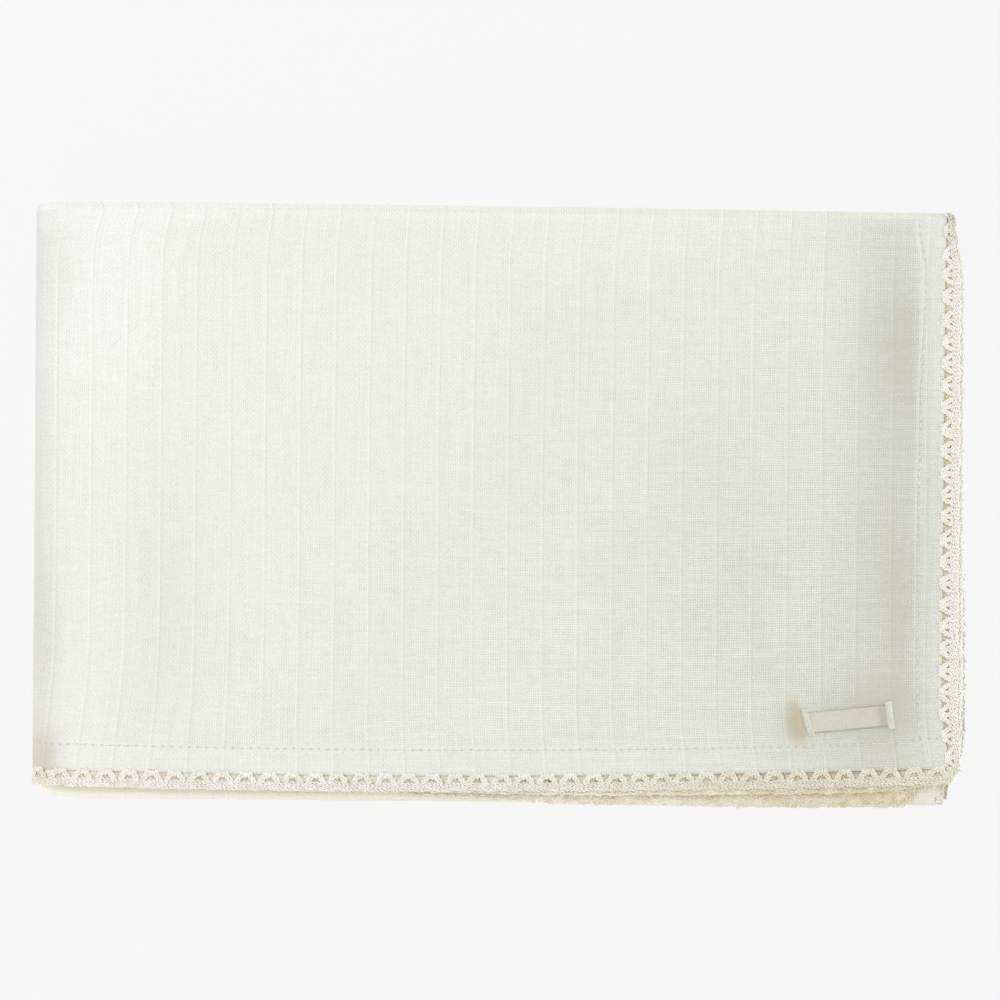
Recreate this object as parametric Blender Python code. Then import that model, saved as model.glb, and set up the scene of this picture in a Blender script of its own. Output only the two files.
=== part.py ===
"""A swaddle blanket of muslin with a crocheted lace edging, folded into a flat pack.

The cloth is first doubled from side to side and from back to front, which brings its four
corners together at the front right. It is then folded in three from front to back, and at last
its left half is folded under. The pack so has one rounded fold along its left end, folds along
its back, hems with lace along its front and right, and one fold that looks out under the lace.

A layer here is a pair of cloths lying together. Each solid is laid out flat on a map of the
pack and then folded by the function fold, which takes three coordinates:

  s   0 to 1 along the upper half, from its right hem to the left fold,
      1 to 2 around the left fold, and 2 to 3 along the lower half, back to the right;
      below 0 it counts millimetres beyond the right hem.
  b   0 to 11 along the back-and-forth section: a whole step for each run of cloth and for each
      bend in turn; below 0 or above 11 it counts millimetres beyond a front hem.
  n   millimetres from the middle of the layer, towards its right side.
"""

import bpy
import numpy as np
from mathutils import Matrix

MM = 0.001

# The layers
SHEET = 1.1
GAP = 0.3
PITCH = SHEET + GAP
LEVELS = 6
HALF_PACK = LEVELS * PITCH - GAP / 2

# The pack seen from above
LEFT_TURN = -144.6
RIGHT_HEM = 146.0
LENGTH = RIGHT_HEM - LEFT_TURN
LEFT_FLARE = 0.0074
CORNER_REACH = 12.0
TUCK_REACH = 4.0

# The lower half is a little shorter and less deep than the upper one
LOWER_RIGHT = 145.2
LOWER_HEM_SHARE = 0.4
LOWER_FRONT_IN = 1.5

# The turning places of the section, from the hem on top to the hem under it. Levels count up
# from the middle of the pack, and the side is 1 at the back and -1 at the front. A fold's y is
# that of its outer edge; bow is how far it lies further back halfway along, and tuck how far it
# draws in at the left fold. The right hem lies right_hem beyond that of the top layer, it draws
# in by corner where it comes to this place, and its lace loses there a share of its width, curl.
PLACES = np.array(
    [
        # enters, leaves, side, y_left, y_right, bow, tuck, right_hem, corner, curl
        (5, 5, -1, -86.6, -86.2, -2.2, 0.0, -1.2, -2.6, 0.25),
        (5, 2, 1, 100.0, 96.0, 0.3, 0.4, 0.5, -0.4, 0.70),
        (2, 1, -1, -94.7, -97.2, 0.0, 1.0, 2.6, 4.2, 0.45),
        (1, 0, 1, 98.6, 94.4, 0.3, 0.0, -1.0, 0.0, 0.50),
        (0, 3, -1, -96.1, -98.6, 0.0, 1.0, 0.4, 3.4, 0.45),
        (3, 4, 1, 98.3, 94.2, 0.3, 0.4, -1.2, -0.4, 0.60),
        (4, 4, -1, -86.3, -93.4, 0.0, 0.0, -8.0, 6.2, 0.25),
    ],
    dtype=[
        ("enters", float),
        ("leaves", float),
        ("side", float),
        ("y_left", float),
        ("y_right", float),
        ("bow", float),
        ("tuck", float),
        ("right_hem", float),
        ("corner", float),
        ("curl", float),
    ],
)
RUNS = len(PLACES) - 1
LAST = 2 * RUNS - 1

# Flat steps round the left fold, round a wide fold of the section and round a tight one
LEFT_STEPS = 8
WIDE_STEPS = 8
TIGHT_STEPS = 5
HIDDEN_RUN_PARTS = (0.04, 0.10, 0.5, 0.90, 0.96)
LOWER_HALF_LINES = (2, 2.03, 2.12, 2.5, 3)

# Hems of the top layer, the line of the stitches being their inner edge
FRONT_HEM = 10.6
SIDE_HEM = 8.9
HEM_STEP = 0.5
HEM_RISE = 0.25

# Lines of the top layer's grid, in millimetres from its hems and folds
FROM_RIGHT = (0, SIDE_HEM, SIDE_HEM + HEM_STEP, 13, 17.5, 28, 38, 46, 60, 85, 115)
FROM_LEFT = (145, 115, 85, 60, 36, 16, 6)
FROM_FRONT = (0, 4, FRONT_HEM, FRONT_HEM + HEM_STEP, 19, 28, 45, 70, 100, 130)
FROM_BACK = (36, 22, 10, 4)

# The pack is thicker by this share at its left end and thinner by it at its right end
TAPER = 0.025

# The top layer lies loose on the one below. It lifts by LIFT, more on the swells and less in
# the troughs, and comes down to its folds at the left and at the back over EASE.
LIFT = 0.35
EASE = 11.0
SWELLS = np.array(
    [
        # x, y, reach_x, reach_y, rise
        (-124.0, 10.0, 14.0, 80.0, 0.35),
        (-88.0, -20.0, 20.0, 55.0, -0.30),
        (-35.0, 40.0, 28.0, 45.0, 0.25),
        (25.0, -35.0, 32.0, 40.0, 0.20),
        (88.0, 25.0, 30.0, 50.0, -0.25),
        (132.0, 2.0, 5.0, 62.0, -0.33),
        (98.0, -66.0, 7.0, 9.0, 0.40),
        (128.0, -72.0, 7.0, 8.0, 0.25),
    ],
    dtype=[(name, float) for name in ("x", "y", "reach_x", "reach_y", "rise")],
)

# Lace: a row of legs on the hem, and a corded outer edge
LACE = 1.0
LACE_WIDTH = 5.6
NOTCH_HALF = 2.05
NOTCH_DEPTH = 1.6
HOLE_DROP = 2.1
HOLE_HALF_LENGTH = 1.25
HOLE_HALF_WIDTH = 1.05
SCALLOP = 0.25
LACE_CORNER = ((1.9, 4.9), (3.4, 3.4), (4.9, 1.9))
LACE_CORNER_MIDDLE = 2.1
FRONT_REPEATS = 38
SIDE_REPEATS = 24
UNDER_REPEATS = 35

# Label: a bare tape, sewn down at both ends
LABEL_LENGTH = 28.6
LABEL_WIDTH = 6.6
LABEL_THICKNESS = 1.0
LABEL_CENTRE = (115.4, -70.0)
LABEL_TURN = np.radians(5.3)
LABEL_ARCH = 0.7
LABEL_STEPS = 12

# Plain finishes, each a colour and a roughness, and the angle above which an edge is sharp
CLOTH_FINISH = ((0.83, 0.83, 0.78), 0.9)
LACE_FINISH = ((0.80, 0.77, 0.66), 0.85)
LABEL_FINISH = ((0.86, 0.84, 0.77), 0.8)
SHARP_ANGLE = np.radians(40)


def clear_scene():
    for obj in list(bpy.data.objects):
        bpy.data.objects.remove(obj, do_unlink=True)


def height(level):
    """Height of a layer's middle above the middle plane of the pack."""
    return (level + 0.5) * PITCH


def place_y(index, share, lower):
    """Y of a hem, or of a fold's centre, at a share of the way from left to right."""
    row = PLACES[index]
    reach = np.abs(row["leaves"] - row["enters"]) * PITCH / 2
    reach = reach + np.where(reach > 0, SHEET / 2, 0)
    edge = row["y_left"] + (row["y_right"] - row["y_left"]) * share
    edge = edge + row["bow"] * 4 * share * (1 - share)
    tuck = row["tuck"] * np.exp(-share * LENGTH / TUCK_REACH)
    drawn_in = reach + tuck + np.where(row["side"] < 0, LOWER_FRONT_IN * lower, 0)
    return edge - row["side"] * drawn_in


def section(b, n, share, lower):
    """Y, height above the middle plane, right hem and curl of the points at b and n."""
    inside = np.clip(b, 0, LAST)
    step = np.minimum(inside.astype(int), LAST - 1)
    part = inside - step
    start = step // 2
    end = start + 1
    run = step % 2 == 0
    start_y = place_y(start, share, lower)
    end_y = place_y(end, share, lower)

    ahead = PLACES["side"][end]
    beyond = np.minimum(b, 0) + np.maximum(b - LAST, 0)
    run_y = start_y * (1 - part) + end_y * part
    run_z = height(PLACES["leaves"][start]) + ahead * n
    near_start = np.exp(-(((run_y - start_y) / CORNER_REACH) ** 2))
    near_end = np.exp(-(((run_y - end_y) / CORNER_REACH) ** 2))
    drawn_in = PLACES["corner"][start] * near_start + PLACES["corner"][end] * near_end
    run_hem = PLACES["right_hem"][start] * (1 - part) + PLACES["right_hem"][end] * part - drawn_in
    run_curl = PLACES["curl"][start] * near_start + PLACES["curl"][end] * near_end

    bend = PLACES[end]
    centre = (height(bend["enters"]) + height(bend["leaves"])) / 2
    radius = np.abs(bend["leaves"] - bend["enters"]) * PITCH / 2
    down = np.sign(bend["enters"] - bend["leaves"])
    turn = np.pi * part
    bend_y = end_y + (bend["side"] * radius + down * n) * np.sin(turn)
    bend_z = centre + (down * radius + bend["side"] * n) * np.cos(turn)

    y = np.where(run, run_y + ahead * beyond, bend_y)
    z = np.where(run, run_z, bend_z)
    hem = np.where(run, run_hem, bend["right_hem"] - bend["corner"])
    return y, z, hem, np.where(run, run_curl, bend["curl"])


def lift(x, y, share):
    """How far the top layer lies above its level: a sum of round-topped swells, never below 0."""
    across = ((x[..., None] - SWELLS["x"]) / SWELLS["reach_x"]) ** 2
    along = ((y[..., None] - SWELLS["y"]) / SWELLS["reach_y"]) ** 2
    rise = LIFT + (SWELLS["rise"] * np.exp(-across - along)).sum(axis=-1)
    from_back = np.maximum(place_y(1, share, 0) - y, 0)
    from_left = share * LENGTH
    ease = (1 - np.exp(-from_back / EASE)) * (1 - np.exp(-from_left / EASE))
    return np.maximum(rise, 0) * ease


def fold(s, b, n):
    """Folds points of the map into the pack, in millimetres: first back and forth, then in half."""
    share = np.where(s < 1, 1 - np.clip(s, 0, 1), np.clip(s - 2, 0, 1))
    lower = np.clip(s - 1, 0, 1)
    turn = np.pi * lower
    y, z, hem, curl = section(b, n, share, lower)
    right = np.where(s < 1, RIGHT_HEM + hem, LOWER_RIGHT + LOWER_HEM_SHARE * hem)
    x = LEFT_TURN + (right - LEFT_TURN) * share - z * np.sin(turn)
    x = x + np.maximum(-s, 0) * (1 - curl)
    x = x + LEFT_FLARE * y * (1 - share)
    z = HALF_PACK + z * np.cos(turn)
    z = z + np.where((s < 1) & (b < 1), lift(x, y, share), 0)
    return np.stack([x, y, z * (1 + TAPER * x / LEFT_TURN)], axis=-1)


def add_object(name, vertices, faces, finish):
    """Makes a mesh object with its own plain material from vertices in millimetres."""
    colour, roughness = finish
    mesh = bpy.data.meshes.new(name)
    mesh.from_pydata((vertices * MM).tolist(), [], faces)
    mesh.validate()
    mesh.shade_smooth()
    mesh.set_sharp_from_angle(angle=SHARP_ANGLE)
    material = bpy.data.materials.new(name)
    material.use_nodes = True
    shader = material.node_tree.nodes["Principled BSDF"]
    shader.inputs["Base Color"].default_value = (*colour, 1)
    shader.inputs["Roughness"].default_value = roughness
    shader.inputs["Metallic"].default_value = 0
    mesh.materials.append(material)
    obj = bpy.data.objects.new(name, mesh)
    bpy.context.scene.collection.objects.link(obj)
    return obj


def join_cells(cells):
    """One list of map points and of faces from many, each face a list of points (s, b)."""
    index = {}
    faces = []
    for cell in cells:
        keys = [(round(float(s), 6), round(float(b), 6)) for s, b in cell]
        faces.append([index.setdefault(key, len(index)) for key in keys])
    return np.array(list(index)), faces


def thicken(points, faces, above, below):
    """A closed solid from a flat pattern: its two folded faces and the walls round its rims."""
    count = len(points)
    upper = fold(points[:, 0], points[:, 1], above)
    lower = fold(points[:, 0], points[:, 1], -below)
    edges = {(a, b) for face in faces for a, b in zip(face, face[1:] + face[:1])}
    rims = [(a, b) for a, b in edges if (b, a) not in edges]
    solid = [face[::-1] for face in faces]
    solid += [[corner + count for corner in face] for face in faces]
    solid += [[a, b, b + count, a + count] for a, b in sorted(rims)]
    return np.concatenate([upper, lower]), solid


def grid_cells(s_lines, b_lines):
    """The rectangles between two sets of lines, each turning from s towards b."""
    cells = []
    for s0, s1 in zip(s_lines, s_lines[1:]):
        for b0, b1 in zip(b_lines, b_lines[1:]):
            cells.append([(s0, b0), (s1, b0), (s1, b1), (s0, b1)])
    return cells


def section_lines(first_run):
    """Lines along the section: those given for its first run, few on others, many on folds."""
    lines = list(first_run)
    for index in range(1, RUNS):
        row = PLACES[index]
        steps = WIDE_STEPS if abs(row["leaves"] - row["enters"]) > 1 else TIGHT_STEPS
        fold_start = 2 * index - 1
        lines += list(fold_start + np.arange(steps + 1) / steps)
        lines += [fold_start + 1 + part for part in HIDDEN_RUN_PARTS]
    return lines + [LAST]


def left_turn_lines():
    """Lines around the left fold and along the lower half, to its right end."""
    return [*(1 + np.arange(LEFT_STEPS) / LEFT_STEPS), *LOWER_HALF_LINES]


def cloth_lines():
    """Lines of the cloth's grid, close together at the hems, the folds and the label."""
    depth = PLACES["y_left"][1] - PLACES["y_left"][0]
    upper = [gap / LENGTH for gap in FROM_RIGHT] + [1 - gap / LENGTH for gap in FROM_LEFT]
    first_run = [gap / depth for gap in FROM_FRONT] + [1 - gap / depth for gap in FROM_BACK]
    return upper + left_turn_lines(), section_lines(first_run)


def hem_rise(points):
    """How much higher the top layer is where its hem is turned under."""
    s, b = points.T
    on_top = (s < 1) & (b < 1)
    x, y, _ = np.moveaxis(fold(s, b, 0), -1, 0)
    hem_x = fold(np.zeros_like(s), b, 0)[:, 0]
    hem_y = fold(s, np.zeros_like(b), 0)[:, 1]
    reach = HEM_STEP / 2
    in_hem = (hem_x - x < SIDE_HEM + reach) | (y - hem_y < FRONT_HEM + reach)
    return np.where(on_top & in_hem, HEM_RISE, 0)


def make_cloth():
    s_lines, b_lines = cloth_lines()
    points, faces = join_cells(grid_cells(s_lines, b_lines))
    vertices, faces = thicken(points, faces, SHEET / 2 + hem_rise(points), SHEET / 2)
    return add_object("cloth", vertices, faces, CLOTH_FINISH)


def lace_repeat(length):
    """One repeat of the lace, as faces of points (along, outward): notch, hole, scalloped edge."""
    middle = length / 2
    notch = [(0, NOTCH_DEPTH), (length, NOTCH_DEPTH)]
    foot = [(NOTCH_HALF, 0), (length - NOTCH_HALF, 0)]
    edge = [(0, LACE_WIDTH), (middle, LACE_WIDTH + SCALLOP), (length, LACE_WIDTH)]
    corners = np.radians([180, 240, 300, 0, 60, 120])
    along = middle + HOLE_HALF_LENGTH * np.cos(corners)
    outward = HOLE_DROP + HOLE_HALF_WIDTH * np.sin(corners)
    hole = list(zip(along, outward))
    return [
        [notch[0], foot[0], hole[1], hole[0]],
        [foot[0], foot[1], hole[2], hole[1]],
        [foot[1], notch[1], hole[3], hole[2]],
        [notch[1], edge[2], hole[4], hole[3]],
        [edge[2], edge[1], hole[4]],
        [edge[1], hole[5], hole[4]],
        [edge[1], edge[0], hole[5]],
        [edge[0], notch[0], hole[0], hole[5]],
    ]


def lace_run(length, repeats, place):
    """A row of repeats; place turns a share along the row and a distance outward into a point."""
    step = length / repeats
    cells = []
    for number in range(repeats):
        for face in lace_repeat(step):
            cells.append([place((number + u / step) / repeats, GAP + v) for u, v in face])
    return cells


def lace_corner(turn):
    """The fan of lace at a corner; turn takes distances beyond the two hems to a point."""
    inner = GAP + NOTCH_DEPTH
    outer = GAP + LACE_WIDTH
    ring = [(GAP, GAP), (0, inner), (0, outer), *LACE_CORNER, (outer, 0), (inner, 0)]
    middle = (LACE_CORNER_MIDDLE, LACE_CORNER_MIDDLE)
    pairs = zip(ring, ring[1:] + ring[:1])
    return [[turn(*first), turn(*second), turn(*middle)] for first, second in pairs]


def wound_alike(cells):
    """Turns each face of a flat pattern so that all of them run the same way round."""
    fixed = []
    for cell in cells:
        s, b = np.array(cell).T
        area = np.sum(s * np.roll(b, -1) - np.roll(s, -1) * b)
        fixed.append(list(cell) if area > 0 else list(cell)[::-1])
    return fixed


def make_lace():
    front = fold(np.array([0.0, 1.0]), np.zeros(2), 0)
    front_length = front[0, 0] - front[1, 0]
    side = fold(np.zeros(2), np.array([0.0, 1.0]), 0)
    side_length = side[1, 1] - side[0, 1]
    across = [GAP, GAP + NOTCH_DEPTH, GAP + LACE_WIDTH]
    inward = [-v for v in reversed(across)]
    beyond = [LAST + v for v in across]
    rest = section_lines([0])[1:]

    cells = lace_run(front_length, FRONT_REPEATS, lambda along, out: (along, -out))
    cells += lace_run(side_length, SIDE_REPEATS, lambda along, out: (-out, along))
    cells += lace_run(front_length, UNDER_REPEATS, lambda along, out: (along, LAST + out))
    cells += lace_corner(lambda right, ahead: (-right, -ahead))
    cells += lace_corner(lambda right, ahead: (-right, LAST + ahead))
    cells += grid_cells(left_turn_lines(), inward) + grid_cells(left_turn_lines(), beyond)
    cells += grid_cells(inward, rest)
    points, faces = join_cells(wound_alike(cells))
    vertices, faces = thicken(points, faces, LACE / 2, LACE / 2)
    return add_object("lace", vertices, faces, LACE_FINISH)


def make_label():
    """A tape that lies on the top layer at both ends and arches a little between them."""
    along = np.linspace(-1, 1, LABEL_STEPS + 1) * LABEL_LENGTH / 2
    across = np.array([-1, 1]) * LABEL_WIDTH / 2
    u, v = np.meshgrid(along, across, indexing="ij")
    x = LABEL_CENTRE[0] + u * np.cos(LABEL_TURN) - v * np.sin(LABEL_TURN)
    y = LABEL_CENTRE[1] + u * np.sin(LABEL_TURN) + v * np.cos(LABEL_TURN)
    s = (RIGHT_HEM - x) / LENGTH
    front = place_y(0, 1 - s, 0)
    b = (y - front) / (place_y(1, 1 - s, 0) - front)
    under = SHEET / 2 + GAP + LABEL_ARCH * (1 - (2 * u / LABEL_LENGTH) ** 2)
    lower = fold(s, b, under).reshape(-1, 3)
    upper = fold(s, b, under + LABEL_THICKNESS).reshape(-1, 3)
    count = len(lower)
    faces = []
    for step in range(LABEL_STEPS):
        near, far = 2 * step, 2 * step + 2
        faces += [[near, near + 1, far + 1, far], [near, far, far + count, near + count]]
        faces += [[near + count, far + count, far + 1 + count, near + 1 + count]]
        faces += [[far + 1, near + 1, near + 1 + count, far + 1 + count]]
    end = 2 * LABEL_STEPS
    faces += [[1, 0, count, count + 1], [end, end + 1, end + 1 + count, end + count]]
    return add_object("label", np.concatenate([lower, upper]), faces, LABEL_FINISH)


def centre_on_origin(objects):
    """Moves the meshes so that the middle of the pack's underside is the origin."""
    corners = np.array([vertex.co for obj in objects for vertex in obj.data.vertices])
    low = corners.min(axis=0)
    high = corners.max(axis=0)
    shift = Matrix.Translation((-(low[0] + high[0]) / 2, -(low[1] + high[1]) / 2, -low[2]))
    for obj in objects:
        obj.data.transform(shift)


clear_scene()
centre_on_origin([make_cloth(), make_lace(), make_label()])
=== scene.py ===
"""Dresses the folded swaddle blanket: its muslin, crocheted edging, stitches and label.

One square of muslin is doubled from side to side and from back to front, folded in three and then
in half. A point of the cut cloth is given by three numbers:

  across  0 to 3 over the first half of the cloth, from its right hem round the left fold to the
          right end of the lower half; 3 to 4 round the doubling fold there; 4 to 7 back over the
          second half to its own hem. Below 0 and above 7 it counts millimetres past the hem.
  along   0 to 11 from the hem on top, through each run and each bend in turn, to the hem under
          it. Below 0 and above 11 it counts millimetres past the hem.
  above   millimetres from the middle of the cloth's own thickness, towards its right side.

Sizes are in millimetres until a mesh is made.
"""

import bpy
import numpy as np
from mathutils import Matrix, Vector


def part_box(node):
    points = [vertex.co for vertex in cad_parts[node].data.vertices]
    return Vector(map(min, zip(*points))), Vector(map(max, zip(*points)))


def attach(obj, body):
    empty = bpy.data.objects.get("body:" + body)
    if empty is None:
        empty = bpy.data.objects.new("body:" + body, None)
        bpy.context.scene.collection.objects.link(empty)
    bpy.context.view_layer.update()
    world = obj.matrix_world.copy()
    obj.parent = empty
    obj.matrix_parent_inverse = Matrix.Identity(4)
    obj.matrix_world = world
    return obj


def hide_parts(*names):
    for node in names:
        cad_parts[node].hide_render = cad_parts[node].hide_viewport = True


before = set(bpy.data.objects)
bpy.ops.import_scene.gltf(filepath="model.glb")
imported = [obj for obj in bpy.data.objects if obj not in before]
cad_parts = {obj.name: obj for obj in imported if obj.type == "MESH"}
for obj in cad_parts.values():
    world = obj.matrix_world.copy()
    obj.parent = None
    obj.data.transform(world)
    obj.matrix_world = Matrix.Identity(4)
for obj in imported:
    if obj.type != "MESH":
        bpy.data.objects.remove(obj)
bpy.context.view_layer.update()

MM = 0.001
rng = np.random.default_rng(7)


# ---------------------------------------------------------------- the folded pack, as in the CAD

# A layer is a pair of cloths, PAIR thick, and the layers lie GAP apart, LEVELS of them on each side
# of the middle plane
PAIR = 1.1
GAP = 0.3
PITCH = PAIR + GAP
LEVELS = 6
HALF_PACK = LEVELS * PITCH - GAP / 2

# Where the left fold turns and the hems end, how a hem is drawn in at its corners and tucks, and
# how the top and the left end swell
LEFT_TURN = -144.6
RIGHT_HEM = 146.0
LENGTH = RIGHT_HEM - LEFT_TURN
LEFT_FLARE = 0.0074
CORNER_REACH = 12.0
TUCK_REACH = 4.0
LOWER_RIGHT = 145.2
LOWER_HEM_SHARE = 0.4
LOWER_FRONT_IN = 1.5
TAPER = 0.025
LIFT = 0.35
EASE = 11.0


def table(names, *rows):
    """Rows of numbers with named columns."""
    return np.array(list(rows), dtype=[(name, float) for name in names.split()])


def read(rows, place):
    """Second column of a table at a place in its first, straight between its rows."""
    places, values = rows.dtype.names[:2]
    return np.interp(place, rows[places], rows[values])


# The turning places of the section, from the hem on top to the hem under it. Levels count up from
# the middle of the pack; the side is 1 at the back and -1 at the front.
PLACES = table(
    "enters leaves side y_left y_right bow tuck right_hem corner curl",
    (5, 5, -1, -86.6, -86.2, -2.2, 0, -1.2, -2.6, 0.25),
    (5, 2, 1, 100, 96, 0.3, 0.4, 0.5, -0.4, 0.70),
    (2, 1, -1, -94.7, -97.2, 0, 1, 2.6, 4.2, 0.45),
    (1, 0, 1, 98.6, 94.4, 0.3, 0, -1, 0, 0.50),
    (0, 3, -1, -96.1, -98.6, 0, 1, 0.4, 3.4, 0.45),
    (3, 4, 1, 98.3, 94.2, 0.3, 0.4, -1.2, -0.4, 0.60),
    (4, 4, -1, -86.3, -93.4, 0, 0, -8, 6.2, 0.25),
)
RUNS = len(PLACES) - 1
LAST = 2 * RUNS - 1
TOP_DEPTH = PLACES["y_left"][1] - PLACES["y_left"][0]

# Swells and troughs of the top run
SWELLS = table(
    "x y reach_x reach_y rise",
    (-124, 10, 14, 80, 0.35),
    (-88, -20, 20, 55, -0.30),
    (-35, 40, 28, 45, 0.25),
    (25, -35, 32, 40, 0.20),
    (88, 25, 30, 50, -0.25),
    (132, 2, 5, 62, -0.33),
    (98, -66, 7, 9, 0.40),
    (128, -72, 7, 8, 0.25),
)


def height(level):
    """Height of a layer's middle above the middle plane of the pack."""
    return (level + 0.5) * PITCH


def place_y(index, share, lower):
    """Y of a hem, or of a fold's centre, at a share of the way from left to right: the straight
    line between its ends, plus its bow, less its own reach, its tuck at the left fold, which dies
    away over TUCK_REACH, and what the lower half is drawn in at the front."""
    row = PLACES[index]
    reach = np.abs(row["leaves"] - row["enters"]) * PITCH / 2
    reach = reach + np.where(reach > 0, PAIR / 2, 0)
    edge = row["y_left"] + (row["y_right"] - row["y_left"]) * share
    edge = edge + row["bow"] * 4 * share * (1 - share)
    tuck = row["tuck"] * np.exp(-share * LENGTH / TUCK_REACH)
    drawn_in = reach + tuck + np.where(row["side"] < 0, LOWER_FRONT_IN * lower, 0)
    return edge - row["side"] * drawn_in


def section(b, n, share, lower):
    """Y, height above the middle plane, right hem and curl of the points at b and n.

    On a run y goes evenly from one fold's centre to the next; round a fold it follows a half
    circle. What a fold draws in and curls falls off along the run as a bell of CORNER_REACH."""
    inside = np.clip(b, 0, LAST)
    step = np.minimum(inside.astype(int), LAST - 1)
    part = inside - step
    start = step // 2
    end = start + 1
    run = step % 2 == 0
    start_y = place_y(start, share, lower)
    end_y = place_y(end, share, lower)

    ahead = PLACES["side"][end]
    beyond = np.minimum(b, 0) + np.maximum(b - LAST, 0)
    run_y = start_y * (1 - part) + end_y * part
    run_z = height(PLACES["leaves"][start]) + ahead * n
    near_start = np.exp(-(((run_y - start_y) / CORNER_REACH) ** 2))
    near_end = np.exp(-(((run_y - end_y) / CORNER_REACH) ** 2))
    drawn_in = PLACES["corner"][start] * near_start + PLACES["corner"][end] * near_end
    run_hem = PLACES["right_hem"][start] * (1 - part) + PLACES["right_hem"][end] * part - drawn_in
    run_curl = PLACES["curl"][start] * near_start + PLACES["curl"][end] * near_end

    bend = PLACES[end]
    centre = (height(bend["enters"]) + height(bend["leaves"])) / 2
    radius = np.abs(bend["leaves"] - bend["enters"]) * PITCH / 2
    down = np.sign(bend["enters"] - bend["leaves"])
    turn = np.pi * part
    bend_y = end_y + (bend["side"] * radius + down * n) * np.sin(turn)
    bend_z = centre + (down * radius + bend["side"] * n) * np.cos(turn)

    y = np.where(run, run_y + ahead * beyond, bend_y)
    z = np.where(run, run_z, bend_z)
    hem = np.where(run, run_hem, bend["right_hem"] - bend["corner"])
    return y, z, hem, np.where(run, run_curl, bend["curl"])


def swell(x, y, rows):
    """A sum of round-topped swells: each rises by its rise and falls off over its two reaches."""
    across = ((x[..., None] - rows["x"]) / rows["reach_x"]) ** 2
    along = ((y[..., None] - rows["y"]) / rows["reach_y"]) ** 2
    return (rows["rise"] * np.exp(-across - along)).sum(axis=-1)


def lift(x, y, share):
    """How far the top layer lies above its level: LIFT plus its swells, never below 0, and eased
    to 0 at the back and the left fold."""
    from_back = np.maximum(place_y(1, share, 0) - y, 0)
    from_left = share * LENGTH
    ease = (1 - np.exp(-from_back / EASE)) * (1 - np.exp(-from_left / EASE))
    return np.maximum(LIFT + swell(x, y, SWELLS), 0) * ease


def fold(s, b, n):
    """Folds points of a layer into the pack: first back and forth by section, then in half.

    Round the left fold the height above the middle plane becomes the radius of a half circle. The
    left end leans by LEFT_FLARE, the top run is lifted, and heights grow to the left by TAPER."""
    share = np.where(s < 1, 1 - np.clip(s, 0, 1), np.clip(s - 2, 0, 1))
    lower = np.clip(s - 1, 0, 1)
    turn = np.pi * lower
    y, z, hem, curl = section(b, n, share, lower)
    right = np.where(s < 1, RIGHT_HEM + hem, LOWER_RIGHT + LOWER_HEM_SHARE * hem)
    x = LEFT_TURN + (right - LEFT_TURN) * share - z * np.sin(turn)
    x = x + np.maximum(-s, 0) * (1 - curl)
    x = x + LEFT_FLARE * y * (1 - share)
    z = HALF_PACK + z * np.cos(turn)
    z = z + np.where((s < 1) & (b < 1), lift(x, y, share), 0)
    return np.stack([x, y, z * (1 + TAPER * x / LEFT_TURN)], axis=-1)


# ---------------------------------------------------------------- one cloth of the folded pair

CLOTH = 0.4
HALF_PAIR = 0.32

# Depth of the top hem's turned edge: along the right from front to back, along the front from
# left to right. The stitches run a little nearer to the hem.
SIDE_SEAM = table("y depth", (-86, 8.9), (0, 9.0), (41, 8.4), (66, 7.2), (78, 7.2), (89, 9.7))
FRONT_SEAM = table("x depth", (-145, 9.5), (0, 9.4), (100, 9.4), (125, 9.8), (140, 10.8))
SEAM_WIDTH = 0.7
SEAM_RISE = 0.28
STITCH_IN = 1.0

# Reaches over which the relief of the top dies away: at the left fold, at the back, and the
# crinkle at the hems
LEFT_EASE = 5.0
BACK_EASE = 7.0
HEM_EASE = 6.0

# Creases of the cloth on top, beside the swells that the whole pair makes
CREASES = table(
    "x y reach_x reach_y rise",
    (37.5, 71.7, 11, 1.2, 0.22),
    (37.5, 69.4, 11, 1.2, -0.12),
    (117, 0, 9, 78, 0.55),
    (100, -58, 5, 2.2, 0.20),
    (118, -61.5, 9, 1.8, 0.16),
    (112, -77.5, 12, 1.7, 0.16),
    (132, -60, 2.4, 9, 0.25),
    (131, 58, 2.6, 16, 0.25),
    (-139, -42, 4, 3, -0.14),
    (-110, 88, 22, 3, 0.22),
    (-60, 91, 30, 2.4, 0.18),
    (60, 86, 34, 2.6, 0.20),
)

# Puckers of the cloth at the label's bars, steeper on their right than on their left. Their top
# line leans by lean millimetres to the right for each millimetre towards the back.
PUCKERS = table(
    "x y reach_left reach_right reach_y lean rise",
    (97.8, -70.8, 6, 1.5, 6, -0.18, 1.2),
    (127.4, -66, 4, 1.2, 3.5, 0, 0.5),
)

# How far the second cloth of the pair lies past the first at its right hem, by place, and at its
# two front hems
SECOND_RIGHT = (2.0, 1.6, 0.3, -1.1, -1.5, -0.7, -0.4, 0.2, -1.2, -0.8, 0.5, 0.9)
SECOND_FRONT = table("share slide", (0.0, 0.2), (0.4, 0.3), (0.6, 1.6), (1.0, 2.4))
SECOND_LAST = table("share slide", (0.0, 0.0), (0.4, 0.2), (0.6, 2.4), (0.85, 1.7), (1.0, 0.6))
SECOND_REACH = 22.0
SECOND_CORNER = 15.0
SECOND_LIFT = 0.75
SLIDE_DEPTH = LENGTH / 1.5


def pucker(x, y, rows):
    """A sum of swells with two different reaches, to the left and to the right of a line."""
    away = x[..., None] - rows["x"] - rows["lean"] * (y[..., None] - rows["y"])
    across = (away / np.where(away < 0, rows["reach_left"], rows["reach_right"])) ** 2
    along = ((y[..., None] - rows["y"]) / rows["reach_y"]) ** 2
    return (rows["rise"] * np.exp(-across - along)).sum(axis=-1)


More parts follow.
